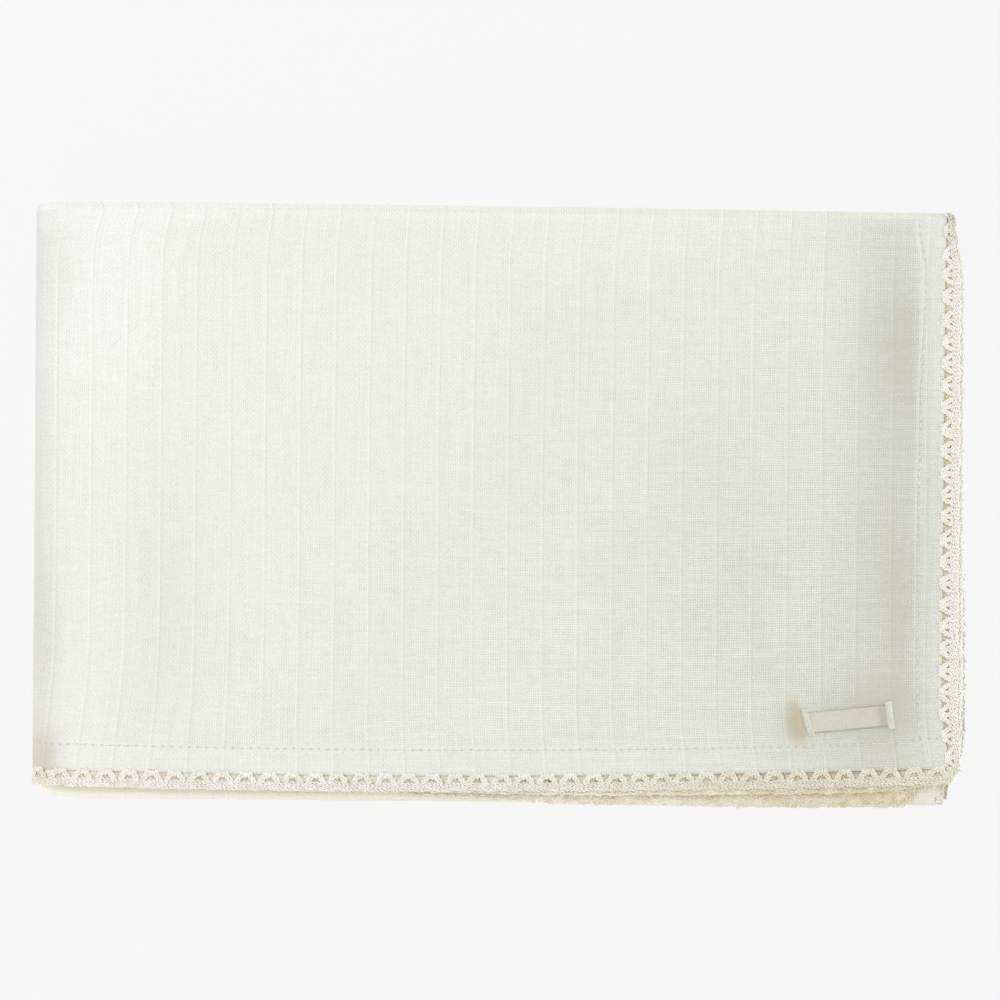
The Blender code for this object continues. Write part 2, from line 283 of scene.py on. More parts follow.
def crinkle(x, y, waves):
    """A sum of plane waves, which gives gauze its small unevenness."""
    phase = (x[..., None] * waves["x"] + y[..., None] * waves["y"]) * 2 * np.pi
    return (waves["rise"] * np.sin(phase + waves["start"])).sum(axis=-1)


def make_waves(count, shortest, longest, rise):
    """Waves in all directions, lengths between shortest and longest, longer ones higher."""
    length = shortest * (longest / shortest) ** rng.random(count)
    heading = rng.random(count) * 2 * np.pi
    columns = [np.cos(heading) / length, np.sin(heading) / length]
    columns += [rise * length / longest, rng.random(count) * 2 * np.pi]
    return np.array(list(zip(*columns)), dtype=[(c, float) for c in ("x", "y", "rise", "start")])


GAUZE = make_waves(26, 7.0, 45.0, 0.035)


def hem_distances(s, b):
    """Millimetres from the top layer's right hem and from its front hem."""
    x, y, _ = np.moveaxis(fold(s, b, 0), -1, 0)
    hem_x = fold(np.zeros_like(s), b, 0)[..., 0]
    hem_y = fold(s, np.zeros_like(b), 0)[..., 1]
    return x, y, hem_x - x, y - hem_y


def seam_distances(s, b):
    """Millimetres inwards from the two seam lines of the top hem, right and front."""
    x, y, from_right, from_front = hem_distances(s, b)
    return from_right - read(SIDE_SEAM, y), from_front - read(FRONT_SEAM, x)


def relief(s, b):
    """How much higher the cloth on top lies than its pair: the hem's soft step, the swells of its
    creases and puckers, and its crinkle."""
    x, y, from_right, from_front = hem_distances(s, b)
    right, front = seam_distances(s, b)
    step = 1 / (1 + np.exp(np.minimum(right, front) / (SEAM_WIDTH / 4)))
    fade = np.clip(np.minimum(from_right, from_front) / HEM_EASE, 0, 1)
    folds = swell(x, y, CREASES) + pucker(x, y, PUCKERS)
    return SEAM_RISE * step + folds + crinkle(x, y, GAUZE) * fade


def rounded(distance):
    """0 at a hem, rising to 1 away from it as what a bell of SECOND_CORNER leaves of 1."""
    return 1 - np.exp(-((distance / SECOND_CORNER) ** 2))


def cloth_point(across, along, above):
    """Places points of the cut cloth. The two halves lie HALF_PAIR to each side of the layer's
    middle, and the doubling fold is a half circle between them. The second half slides over the
    first by SECOND_RIGHT, SECOND_FRONT and SECOND_LAST, which die away from its hems."""
    across, along, above = np.broadcast_arrays(across, along, above)
    turn = np.pi * np.clip(across - 3, 0, 1)
    s = np.where(across < 3, across, np.where(across > 4, 7 - across, 3)).astype(float)
    along = along.astype(float)
    out = HALF_PAIR + above
    point = fold(s, along, out * np.cos(turn))
    point[..., 0] += out * np.sin(turn)

    second = across > 4
    from_right = np.clip(s, 0, 3) * LENGTH
    from_front = np.clip(along, 0, LAST) * SLIDE_DEPTH
    from_last = (LAST - np.clip(along, 0, LAST)) * SLIDE_DEPTH
    slide = np.interp(along, np.arange(LAST + 1), SECOND_RIGHT)
    slide = slide * np.exp(-from_right / SECOND_REACH) * rounded(from_front)
    point[..., 0] += np.where(second, slide, 0)
    share = np.clip(np.where(s < 1, 1 - s, s - 2), 0, 1)
    forward = read(SECOND_FRONT, share) * np.exp(-from_front / SECOND_REACH) * rounded(from_right)
    forward = forward + read(SECOND_LAST, share) * np.exp(-from_last / SECOND_REACH)
    point[..., 1] -= np.where(second, forward, 0)

    lifted = np.where(across < 1, 1.0, np.where(across > 6, SECOND_LIFT, 0.0)) * (along < 1)
    inside_s = np.clip(s, 0, 1)
    inside_b = np.clip(along, 0, 1)
    fade = np.clip((1 - inside_s) * LENGTH / LEFT_EASE, 0, 1)
    fade = fade * np.clip((1 - inside_b) * LENGTH / BACK_EASE, 0, 1)
    point[..., 2] += lifted * relief(inside_s, inside_b) * fade
    return point


def solid_shift():
    """How far the CAD moved its solids to bring them over the origin, from the label's own box."""
    corners = label_points(*label_grid(LABEL_STEPS, 1, [0, LABEL_THICKNESS]), False)
    low = corners.reshape(-1, 3).min(axis=0)
    return np.array(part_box("label")[0]) / MM - low


# ---------------------------------------------------------------- mesh helpers

LOWEST = 0.02
TINY = 1e-9


def link(name, data):
    """A new object in the scene."""
    obj = bpy.data.objects.new(name, data)
    bpy.context.scene.collection.objects.link(obj)
    return obj


def add_mesh(name, points, faces, material, uvs, smooth=True):
    """A mesh object from points in the pack's millimetres, with its own UV maps. Yarn that would
    dip below the table is pressed flat on it. Flat ribbons aren't shaded smooth, because their
    edges would turn dark."""
    mesh = bpy.data.meshes.new(name)
    points = points + SHIFT
    points[:, 2] = np.maximum(points[:, 2], LOWEST)
    mesh.from_pydata((points * MM).tolist(), [], faces)
    for uv_name, values in uvs.items():
        layer = mesh.uv_layers.new(name=uv_name)
        layer.data.foreach_set("uv", np.asarray(values, np.float32).ravel())
    if smooth:
        mesh.shade_smooth()
    mesh.materials.append(material)
    return link(name, mesh)


def grid_faces(rows, columns):
    """Corner numbers of the quads of a grid of points."""
    corner = np.arange((rows - 1) * columns).reshape(rows - 1, columns)[:, :-1].ravel()
    return np.stack([corner, corner + columns, corner + columns + 1, corner + 1], axis=1)


def corner_uvs(u, v, faces):
    """The two coordinates of a grid's points, for each corner of its faces."""
    return np.stack([u, v], axis=-1).reshape(-1, 2)[faces.ravel()]


def thicken(obj, thickness):
    """Gives a sheet its thickness, half to each side."""
    solid = obj.modifiers.new("thickness", "SOLIDIFY")
    solid.thickness = thickness * MM
    solid.offset = 0
    return obj


def covered(paths):
    """Distance covered along each path up to each of its points."""
    steps = np.diff(paths, axis=-2, prepend=paths[..., :1, :])
    return np.linalg.norm(steps, axis=-1).cumsum(axis=-1)


def directions(paths):
    """Unit vectors ahead along each path, sideways from it in the plane, and up from both."""
    ahead = np.gradient(paths, axis=1)
    ahead /= np.linalg.norm(ahead, axis=-1, keepdims=True) + TINY
    side = np.stack([-ahead[..., 1], ahead[..., 0], np.zeros(paths.shape[:2])], axis=-1)
    side /= np.linalg.norm(side, axis=-1, keepdims=True) + TINY
    return ahead, side, np.cross(ahead, side)


def strands(paths, width, rise, sides):
    """Tubes along many paths at once, as rings of points and faces.

    A ring is an ellipse across the path: width to each side in the plane of the cloth, rise up and
    down. paths has the shape (tubes, points, 3), and a tube's ends are closed flat."""
    count, steps, _ = paths.shape
    _, side, up = directions(paths)
    angle = np.arange(sides) * 2 * np.pi / sides
    width = np.broadcast_to(np.asarray(width, float), (count, steps))[..., None, None]
    rise = np.broadcast_to(np.asarray(rise, float), (count, steps))[..., None, None]
    ring = width * np.cos(angle)[:, None] * side[:, :, None]
    ring = paths[:, :, None] + ring + rise * np.sin(angle)[:, None] * up[:, :, None]
    start = (np.arange(count) * steps * sides)[:, None, None]
    ring_start = start + (np.arange(steps - 1) * sides)[None, :, None]
    here = ring_start + np.arange(sides)
    beside = ring_start + (np.arange(sides) + 1) % sides
    quads = np.stack([here, beside, beside + sides, here + sides], axis=-1).reshape(-1, 4)
    first = start[:, 0] + np.arange(sides)[::-1]
    last = start[:, 0] + (steps - 1) * sides + np.arange(sides)

    length = covered(paths)
    around = np.arange(sides + 1) / sides
    near, far = length[:, :-1, None], length[:, 1:, None]
    a, b = around[:-1], around[1:]
    corners = [(near, a), (near, b), (far, b), (far, a)]
    shape = (count, steps - 1, sides)
    uv = [np.stack([np.broadcast_to(u, shape), np.broadcast_to(v, shape)], -1) for u, v in corners]
    quad_uv = np.stack(uv, axis=-2).reshape(-1, 2)
    cap_uv = np.zeros((2 * count * sides, 2))
    return {
        "points": ring.reshape(-1, 3),
        "faces": quads.tolist() + first.tolist() + last.tolist(),
        "uv": np.concatenate([quad_uv, cap_uv]),
    }


def twist(paths, plies, reach_side, reach_up, turns_per_mm, start=0.0):
    """Winds plies round each path: every ply is the path moved sideways and up by a helix."""
    _, side, up = directions(paths)
    length = covered(paths)
    found = []
    for ply in range(plies):
        angle = (length * turns_per_mm + ply / plies + start) * 2 * np.pi
        shift = reach_side * np.cos(angle)[..., None] * side
        found.append(paths + shift + reach_up * np.sin(angle)[..., None] * up)
    return np.concatenate(found)


def join(parts):
    """One set of points, faces and UVs from several."""
    points, faces, uvs, count = [], [], [], 0
    for part in parts:
        points.append(part["points"])
        faces += [[corner + count for corner in face] for face in part["faces"]]
        uvs.append(part["uv"])
        count += len(part["points"])
    return np.concatenate(points), faces, np.concatenate(uvs)


def add_yarns(name, parts, material, smooth=True):
    """One mesh object from tubes, with their own UV."""
    points, faces, uv = join(parts)
    return add_mesh(name, points, faces, material, {"strand": uv}, smooth)


# ---------------------------------------------------------------- materials


class Wire:
    """A number in a material's node tree, which can be worked with as in a formula: each operator
    and each method adds the math node of its name."""

    def __init__(self, tree, socket):
        self.tree = tree
        self.socket = socket

    def math(self, operation, *others):
        """The result of one of Blender's math nodes on this number and the others."""
        node = self.tree.nodes.new("ShaderNodeMath")
        node.operation = operation
        for slot, value in zip(node.inputs, (self, *others)):
            if isinstance(value, Wire):
                self.tree.links.new(value.socket, slot)
            else:
                slot.default_value = value
        return Wire(self.tree, node.outputs[0])

    def __add__(self, other):
        return self.math("ADD", other)

    def __sub__(self, other):
        return self.math("SUBTRACT", other)

    def __mul__(self, other):
        return self.math("MULTIPLY", other)

    def max(self, other):
        return self.math("MAXIMUM", other)

    def min(self, other):
        return self.math("MINIMUM", other)

    def wave(self, pitch, start=0.0):
        """1 at every multiple of the pitch and -1 halfway between."""
        return (self * (2 * np.pi / pitch) + start).math("COSINE")

    def nearest(self, pitch):
        """Distance to the nearest multiple of the pitch, with its sign."""
        return self - (self * (1 / pitch)).math("ROUND") * pitch

    def bell(self, reach):
        """1 where this is 0, falling to 0 past the reach."""
        scaled = self * (1 / reach)
        return (scaled * scaled * -1.0).math("EXPONENT")


SPECULAR = 0.2


def new_material(name, colour, roughness, sheen=0.0):
    """A material with its shader's own values set on it, its tree and its shader."""
    material = bpy.data.materials.new(name)
    material.use_nodes = True
    shader = material.node_tree.nodes["Principled BSDF"]
    shader.inputs["Base Color"].default_value = (*colour, 1)
    shader.inputs["Roughness"].default_value = roughness
    shader.inputs["Specular IOR Level"].default_value = SPECULAR
    shader.inputs["Sheen Weight"].default_value = sheen
    return material, material.node_tree, shader


def uv_wires(tree, name, scale):
    """The two coordinates of a UV map, each times scale."""
    source = tree.nodes.new("ShaderNodeUVMap")
    source.uv_map = name
    split = tree.nodes.new("ShaderNodeSeparateXYZ")
    tree.links.new(source.outputs[0], split.inputs[0])
    return [Wire(tree, split.outputs[axis]) * scale for axis in (0, 1)]


def place_wires(tree):
    """The object coordinates in millimetres."""
    source = tree.nodes.new("ShaderNodeTexCoord")
    split = tree.nodes.new("ShaderNodeSeparateXYZ")
    tree.links.new(source.outputs["Object"], split.inputs[0])
    return [Wire(tree, split.outputs[axis]) * (1 / MM) for axis in range(3)]


def noise(tree, parts, detail=2.0):
    """Noise from -1 to 1 at the place that the parts give."""
    joined = tree.nodes.new("ShaderNodeCombineXYZ")
    for slot, part in zip(joined.inputs, parts):
        tree.links.new(part.socket, slot)
    node = tree.nodes.new("ShaderNodeTexNoise")
    node.inputs["Scale"].default_value = 1.0
    node.inputs["Detail"].default_value = detail
    tree.links.new(joined.outputs[0], node.inputs["Vector"])
    return (Wire(tree, node.outputs["Fac"]) - 0.5) * 2.0


def paint(tree, shader, dark, light, share, tint=None, painted_warm_shade=None):
    """Base colour between two colours by a share, then times a tint by its painted warm shade."""
    mix = tree.nodes.new("ShaderNodeMix")
    mix.data_type = "RGBA"
    mix.inputs["A"].default_value = (*dark, 1)
    mix.inputs["B"].default_value = (*light, 1)
    tree.links.new(share.socket, mix.inputs["Factor"])
    if tint:
        tinted = tree.nodes.new("ShaderNodeMix")
        tinted.data_type = "RGBA"
        tinted.blend_type = "MULTIPLY"
        tinted.inputs["B"].default_value = (*tint, 1)
        tree.links.new(mix.outputs["Result"], tinted.inputs["A"])
        tree.links.new(painted_warm_shade.socket, tinted.inputs["Factor"])
        mix = tinted
    tree.links.new(mix.outputs["Result"], shader.inputs["Base Color"])


def painted_on(tree, name):
    """A number that the mesh carries at its points."""
    source = tree.nodes.new("ShaderNodeAttribute")
    source.attribute_name = name
    return Wire(tree, source.outputs["Fac"])


def emboss(tree, shader, rise, strength=1.0):
    """Bump from a height in millimetres."""
    bump = tree.nodes.new("ShaderNodeBump")
    bump.inputs["Strength"].default_value = strength
    bump.inputs["Distance"].default_value = MM
    tree.links.new(rise.socket, bump.inputs["Height"])
    tree.links.new(bump.outputs["Normal"], shader.inputs["Normal"])


WARP_PITCH = 0.745
WEFT_PITCH = 0.807
CORD_PITCH = 11.42
FIRST_CORD = 17.3
STITCH_PITCH = 2.72
THREAD_SWAY = 0.42
HOLE_ACROSS = 0.34
HOLE_ALONG = 0.40
GAUZE_GAP = (0.60, 0.615, 0.53)
GAUZE_THREAD = (0.93, 0.955, 0.90)
GAUZE_WARM_SHADE = (1.0, 0.875, 0.74)
PAINTED_GLOW_COLOUR = (1.0, 0.88, 0.62, 1)


def muslin():
    """Loose plain weave, coloured between its gaps and its threads by a share.

    Warp and weft are cosine ridges a thread apart, each swayed by noise, and the product of two
    waves twice as long says which passes over. The share follows the higher of the two, with its
    contrast set by how loose the cloth is and by how strongly the weave shows, which grows to the
    front right as painted shade, plus noise drawn out along the threads for slubs. Every CORD_PITCH
    a bell brightens a cord as a painted highlight, with a painted shadow and a plainer stripe beside
    it. Needle holes are bells along the two seam lines, painted darker as the shade in them, and the
    side seam's edge has a painted highlight with painted shade beside it, towards the hem. The mesh
    carries painted light and shade, painted warm shade and a painted glow."""
    material, tree, shader = new_material("muslin", (0.87, 0.87, 0.82), 0.95, 0.1)
    u, v = uv_wires(tree, "cut", 1 / MM)
    right, front = uv_wires(tree, "seams", 1 / MM)
    x, y, _ = place_wires(tree)

    def grain(across, along, detail=2.0):
        """Noise on the cut cloth, drawn out along the way that has the smaller number."""
        return noise(tree, [u * across, v * along], detail)

    # How strongly the weave's gaps and its relief show, more so to the front right as painted shade
    # for how the light falls there, and where the hem doubles it
    weave_shade_and_relief = (x * 0.0026 - y * 0.0022 + 0.70).max(0.5).min(1.0)
    doubled = (right.min(front) * -2.0).max(0.0).min(1.0)

    # The weave: ridges of warp and weft, one over the other
    sway_u = u + grain(0.25, 0.09) * THREAD_SWAY
    sway_v = v + grain(0.09, 0.25) * THREAD_SWAY
    warp = sway_u.wave(WARP_PITCH) * 0.5 + 0.5
    weft = sway_v.wave(WEFT_PITCH) * 0.5 + 0.5
    over = sway_u.wave(2 * WARP_PITCH) * sway_v.wave(2 * WEFT_PITCH)
    picks = weave_shade_and_relief * 0.85 + 0.08 + grain(0.07, 0.07) * 0.4
    picks = picks + grain(0.28, 0.55) * 0.8
    weave = (warp * (over * 0.3 + 0.7)).max(weft * (over * -0.3 + 0.7) * picks)

    # Its unevenness: slubs along both threads, clouds, patches with more slubs, flecks, loose places
    warp_slub = grain(1.2, 0.035, 3.0)
    weft_slub = grain(0.03, 1.15, 3.0)
    cloudy = grain(0.055, 0.012, 3.0)
    patchy = grain(0.12, 0.12) * 0.5 + 0.5
    fleck = grain(1.3, 1.3, 3.0) * 0.29
    loose = grain(0.22, 0.22) * 0.9 + 0.85

    # The cords, each brightened as a painted highlight with a painted shadow beside it, and the
    # needle holes where both rows of stitches go in, sunk and painted darker as the shade in them
    cord = (u - FIRST_CORD).nearest(CORD_PITCH)
    ridge = cord.bell(0.30)
    stripe = (cord * -1.0 - 1.25).bell(1.0)
    cord_shadow = (cord + 0.75).bell(0.35)
    hole_right = (right + STITCH_IN).bell(HOLE_ACROSS) * v.nearest(STITCH_PITCH).bell(HOLE_ALONG)
    hole_front = (front + STITCH_IN).bell(HOLE_ACROSS) * u.nearest(STITCH_PITCH).bell(HOLE_ALONG)
    hole = (hole_right * 0.6).max(hole_front)

    # The share from gap to thread. The side seam's edge, a painted highlight with painted shade
    # beside it, fades in behind the front right corner
    contrast = weave_shade_and_relief * (stripe * -0.5 + 1.0) * loose * (doubled * -0.25 + 0.85)
    share = (weave - 0.6) * contrast + 0.68 + warp_slub * (patchy * 0.12 + 0.06)
    share = share + weft_slub * (weave_shade_and_relief * 0.22 - 0.05) + cloudy * 0.04 + fleck
    share = share + ridge * 0.12 - cord_shadow * 0.09 - stripe * 0.045 - hole * 0.5
    seam_highlight_and_shade = right.bell(0.5) * 0.20 - (right + 0.95).bell(0.4) * 0.13
    share = share + seam_highlight_and_shade * (y * (1 / 15) + 4.6).max(0.0).min(1.0)
    # Painted light and shade on the cloth, with its hems' own tone, as the mesh carries them
    share = (share + painted_on(tree, "tone")).max(0.0).min(1.0)
    # Painted warm shade, as the mesh carries it, tints the colour
    painted_warm_shade = painted_on(tree, "painted_warm_shade")
    paint(tree, shader, GAUZE_GAP, GAUZE_THREAD, share, GAUZE_WARM_SHADE, painted_warm_shade)
    # Painted glow: the cloth emits a warm light near the second cloth's hems
    shader.inputs["Emission Color"].default_value = PAINTED_GLOW_COLOUR
    tree.links.new(painted_on(tree, "painted_glow").socket, shader.inputs["Emission Strength"])
    rise = (weave * 0.07 + warp_slub * 0.02 + weft_slub * 0.02) * weave_shade_and_relief + ridge * 0.02
    emboss(tree, shader, rise - hole * 0.25, 0.8)
    return material


def yarn(name, dark, light, base=0.68, mottle=1.0, painted_shades=()):
    """Soft cotton yarn, coloured between dark and light by a share: its base, plus a slanting wave
    for the fibres, plus fine and coarse noise times its mottle. Each of the painted shades is a
    place from left to right, its reach and how much darker the yarn is painted there, as a bell."""
    material, tree, shader = new_material(name, light, 0.9, 0.15)
    length, around = uv_wires(tree, "strand", 1.0)
    x, y, z = place_wires(tree)
    fibre = (length * 1.6 + around * 2.0).wave(1.0)
    fuzz = noise(tree, [x * 1.5, y * 1.5, z * 1.5], 3.0)
    blotch = noise(tree, [x * 0.3, y * 0.3, z * 0.3])
    share = fibre * 0.12 + base + fuzz * (mottle * 0.58) + blotch * (mottle * 0.70)
    # Painted shade at each of the places given
    for place, reach, depth in painted_shades:
        share = share - (x - place).bell(reach) * depth
    paint(tree, shader, dark, light, share.max(0.0).min(1.0))
    emboss(tree, shader, fibre * 0.04 + fuzz * 0.08)
    return material


RIB_PITCH = 0.62
PICK_PITCH = 0.5
TAPE_SHADED = (0.58, 0.55, 0.44)
TAPE_LIGHT = (0.80, 0.80, 0.73)


def tape():
    """Woven label tape: waves across and along it for its ribs and picks, a bell at both edges for
    the selvedge's ridge and a painted shadow along it, and painted shade where its ends are tucked
    under the bars. It grows a little darker towards its right end."""
    material, tree, shader = new_material("label_tape", (0.85, 0.83, 0.77), 0.75, 0.1)
    u, v = uv_wires(tree, "tape", 1.0)
    rib = u.wave(RIB_PITCH)
    pick = v.wave(PICK_PITCH)
    # Both edges: the selvedge's ridge, and a painted shadow along it
    selvedge_and_shadow = (v.math("ABSOLUTE") - LABEL_WIDTH / 2).bell(0.25)
    mottled = noise(tree, [u * 0.3, v * 0.8])
    # Painted shade where the ends are tucked under the bars
    tucked_shade = (u - 11.3).bell(1.6) * 0.6 + (u + 12.4).bell(0.5) * 0.25
    share = rib * 0.14 + pick * 0.04 + 0.60 + mottled * 0.10 - u * 0.006 - selvedge_and_shadow * 0.2 - tucked_shade
    paint(tree, shader, TAPE_SHADED, TAPE_LIGHT, share.max(0.0).min(1.0))
    emboss(tree, shader, rib * 0.05 + pick * 0.015 + selvedge_and_shadow * 0.05)
    return material


TABLE_GLOW = (0.893, 0.893, 0.893, 1)


def pale_floor():
    """A pale table under soft light: mostly its own even brightness, with a trace of shadow."""
    material, _, shader = new_material("pale_table", (0.03, 0.03, 0.03), 0.9)
    shader.inputs["Emission Color"].default_value = TABLE_GLOW
    shader.inputs["Emission Strength"].default_value = 1.0
    return material


# ---------------------------------------------------------------- the label

# The tape's size, its middle on the pack, its turn, the arch of its solid, how much of that arch
# the dressed tape keeps, and the steps along its solid
LABEL_LENGTH = 28.6
LABEL_WIDTH = 6.6
LABEL_THICKNESS = 1.0
LABEL_CENTRE = (115.4, -70.0)
LABEL_TURN = np.radians(5.3)
LABEL_ARCH = 0.7
LABEL_FLATTENED = 0.4
LABEL_STEPS = 12


def under_label(u, v):
    """Place on the cut cloth of a point u along the label and v across it, from its middle: turned
    and moved to x and y, then taken as shares of the top run's length and depth."""
    x = LABEL_CENTRE[0] + u * np.cos(LABEL_TURN) - v * np.sin(LABEL_TURN)
    y = LABEL_CENTRE[1] + u * np.sin(LABEL_TURN) + v * np.cos(LABEL_TURN)
    s = (RIGHT_HEM - x) / LENGTH
    front = place_y(0, 1 - s, 0)
    return s, (y - front) / (place_y(1, 1 - s, 0) - front)


def label_grid(steps, rows, over):
    """Places along the tape, across it from its middle, and over it, for each point of a grid."""
    along = np.linspace(-1, 1, steps + 1) * LABEL_LENGTH / 2
    across = np.linspace(-1, 1, rows + 1) * LABEL_WIDTH / 2
    return np.meshgrid(along, across, over, indexing="ij")


def label_points(u, v, over, dressed):
    """The tape's points, or with dressed False the corners of its CAD solid. It is arched along its
    length as a parabola, and lies on the top layer at both ends."""
    s, b = under_label(u, v)
    arch = LABEL_ARCH * (1 - (2 * u / LABEL_LENGTH) ** 2)
    if dressed:
        return cloth_point(s, b, CLOTH / 2 + arch * LABEL_FLATTENED + over)
    return fold(s, b, PAIR / 2 + GAP + arch + over)


SHIFT = solid_shift()

# ---------------------------------------------------------------- the cloth


def spread(low, high, step):
    """Numbers from low up to, but not including, high, about a step apart."""
    return list(np.linspace(low, high, max(int(round((high - low) / step)), 1), endpoint=False))


# The grid's lines on top: up to how far from the right hem, and from the front hem, they keep each
# step. Then the steps of each later part across, of wide and tight bends, and a hidden run's lines.
RIGHT_STEPS = ((6.0, 1.2), (11.0, 0.5), (42.0, 1.4), (51.0, 0.5), (LENGTH, 2.0))
FRONT_STEPS = ((8.5, 1.2), (12.5, 0.5), (TOP_DEPTH, 2.0))
LATER_STEPS = (12, 6, 4, 5, 10, 22)
WIDE_BEND_STEPS = 12
TIGHT_BEND_STEPS = 7
MEASURE_STEPS = 100
HIDDEN_LINES = (0, 0.02, 0.06, 0.25, 0.5, 0.75, 0.94, 0.98)


def top_lines(steps, reach):
    """Lines of the run on top as shares of its reach, each stretch with its own step."""
    found = []
    low = 0
    for high, step in steps:
        found += spread(low / reach, high / reach, step / reach)
        low = high
    return found


def cloth_lines():
    """Lines of the cloth's grid: close together over the run on top, its hems and the bends."""
    across = top_lines(RIGHT_STEPS, LENGTH)
    for start, steps in enumerate(LATER_STEPS, start=1):
        across += spread(start, start + 1, 1 / steps)
    along = top_lines(FRONT_STEPS, TOP_DEPTH)
    for index in range(1, RUNS):
        row = PLACES[index]
        wide = abs(row["leaves"] - row["enters"]) > 1
        steps = WIDE_BEND_STEPS if wide else TIGHT_BEND_STEPS
        along += spread(2 * index - 1, 2 * index, 1 / steps)
        along += [2 * index + part for part in HIDDEN_LINES]
    return np.array(across + [7]), np.array(along + [LAST])


# Painted light and shade on the cloth on top: its lighter and darker places, in shares of the way
# from its gaps to its threads
PAINTED_LIGHT_AND_SHADE = table(
    "x y reach_left reach_right reach_y lean rise",
    (131, -20, 18, 8, 85, 0, -0.36),
    (116, -80, 30, 24, 26, 0, -0.24),
    (75, -15, 60, 80, 70, 0, -0.11),
    (60, 94, 60, 60, 22, 0, 0.08),
    (-128, 60, 20, 26, 60, 0, 0.08),
    (-111, -15, 14, 16, 60, 0, -0.10),
    (-151, 0, 6, 4.6, 115, 0, -0.34),
    (-141, -75, 10, 10, 40, 0, 0.10),
    (0, 98.5, 170, 170, 5, 0, 0.12),
    (-150, -45, 5, 9, 30, 0, -0.18),
    (-151, -84, 5, 7, 10, 0, -0.55),
    (-149, 80, 5, 8, 18, 0, -0.14),
    (130, 57, 12, 8, 30, 0, -0.36),
    (124, -67, 14, 12, 9, 0, -0.36),
    (131, -30, 8, 8, 26, 0, -0.16),
    (124, 88, 22, 14, 12, 0, -0.10),
    (80, -25, 22, 25, 40, 0, -0.10),
    (141, 0, 4, 8, 60, 0, -0.11),
    (135, 50, 3.5, 2, 35, 0, -0.18),
    (98.9, -72.4, 4.4, 1, 4.4, -0.15, -0.92),
    (97.3, -66.4, 2.4, 1.6, 2.8, -0.30, -0.42),
    (127.3, -69, 1.2, 1.4, 3.6, 0, -0.45),
)
SIDE_HEM_TONE = 0.02
FRONT_HEM_TONE = 0.03
# Painted light on all that is folded in, painted shade at its right end and on the second cloth's
# front hem towards the right
INSIDE_PAINTED_LIGHT_AND_SHADE = table("x tone", (-150.0, 0.42), (0.0, 0.30), (142.0, 0.30), (148.0, -0.15))
SECOND_FRONT_PAINTED_SHADE = table("x tone", (30.0, 0.0), (45.0, -0.25), (90.0, -0.90))

# Painted warm shade: places where the cloth is shaded and light comes through it are painted
# warmer, here on top, on everything folded in, and most of all at the second cloth's hems
INSIDE_WARM_SHADE = 0.36
HEM_PAINTED_LIGHT_REACH = 4.0
PAINTED_WARM_SHADES = table(
    "x y reach_left reach_right reach_y lean rise",
    (-151, -85, 5, 6, 12, 0, 0.35),
    (98.7, -71.2, 3.6, 1.1, 6.2, -0.18, 1.3),
    (127, -69, 2, 2, 4, 0, 0.8),
)

# A painted glow on the second cloth at its hems, standing in for light that comes through, seen
# in the gaps of the lace
SIDE_HEM_GLOW = 0.18
FRONT_HEM_GLOW = 0.10
FRONT_HEM_GLOW_END = 80.0

# What stands for a seam's distance away from the top hem
NO_SEAM = 40.0

# Where the cords lie beside their straight lines on top, as round-topped bends
DRIFTS = table(
    "x y reach_x reach_y rise",
    (-145, -92, 60, 28, -4.6),
    (-128, 102, 70, 12, 3.6),
    (40, 102, 90, 12, 1.3),
    (20, 10, 80, 60, -0.4),
)


def near(distance):
    """1 at a hem, falling to 0 away from it over HEM_PAINTED_LIGHT_REACH."""
    return np.exp(-distance / HEM_PAINTED_LIGHT_REACH)


def cloth_shades(across, along, points, right, front):
    """Painted light and shade with the hems' own tone, painted warm shade and a painted glow at the
    cloth's points. Outside they add up the tables of painted places and the hem's own tone. Inside
    they are even, painted lighter and warm; near the second cloth's hems they are warmer, darker
    towards the front right, and glow."""
    x, y = points[..., 0], points[..., 1]
    outside = (across <= 2) & (along <= 1)
    inside = np.clip(np.maximum(across - 2, along - 1), 0, 1)
    on_second = (across > 6) & (along <= 1)
    near_front = near(along * TOP_DEPTH)

    hem_tone = np.where(right < 0, SIDE_HEM_TONE, np.where(front < 0, FRONT_HEM_TONE, 0))
    tone = np.where(outside, pucker(x, y, PAINTED_LIGHT_AND_SHADE) + hem_tone, 0.0)
    tone = tone + read(INSIDE_PAINTED_LIGHT_AND_SHADE, x) * inside
    tone = tone + np.where(on_second, read(SECOND_FRONT_PAINTED_SHADE, x) * near_front, 0)

    from_second_hem = np.minimum(7 - across, along) * TOP_DEPTH
    hem_warm_shade = np.where(across > 4, near(from_second_hem), 0)
    painted_warm_shade = np.clip(pucker(x, y, PAINTED_WARM_SHADES), 0, 1)
    painted_warm_shade = np.where(outside, painted_warm_shade, inside * (INSIDE_WARM_SHADE + (1 - INSIDE_WARM_SHADE) * hem_warm_shade))

    side_glow = SIDE_HEM_GLOW * near((7 - across) * LENGTH)
    front_glow = FRONT_HEM_GLOW * near_front * np.clip(1 - x / FRONT_HEM_GLOW_END, 0, 1)
    light = np.where(on_second, side_glow + front_glow, 0)
    return {"tone": tone, "painted_warm_shade": painted_warm_shade, "painted_glow": light}


